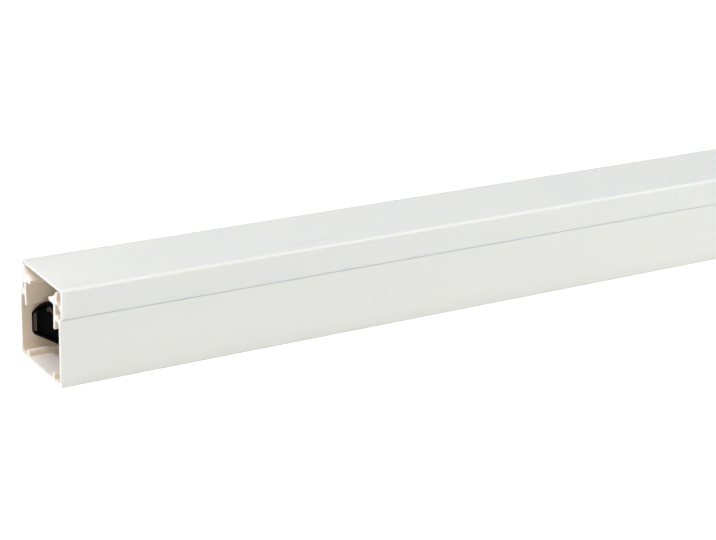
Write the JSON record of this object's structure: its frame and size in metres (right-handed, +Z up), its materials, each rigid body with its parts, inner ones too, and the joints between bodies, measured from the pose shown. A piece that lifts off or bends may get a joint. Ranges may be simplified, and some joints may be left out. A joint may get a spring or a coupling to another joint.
{
  "type": "cord cover raceway",
  "caption": "Square plastic cable raceway: an extruded base channel with a snap-fit cover and a black clip across the open end.",
  "frame": {"origin": "middle of the base channel's flat underside, halfway along the length", "axes": "+X along the length, away from the end that the picture shows; +Z up, from the base channel's underside to the cover; +Y across"},
  "size_m": [1, 0.04, 0.04],
  "materials": {
    "base_pvc": "smooth extruded off-white PVC, satin",
    "cover_pvc": "smooth extruded off-white PVC, satin",
    "black_plastic": "moulded black plastic, satin"
  },
  "bodies": {
    "root": {"base_channel": "base_pvc", "snap_cover": "cover_pvc", "cable_clip": "black_plastic"}
  },
  "joints": []
}
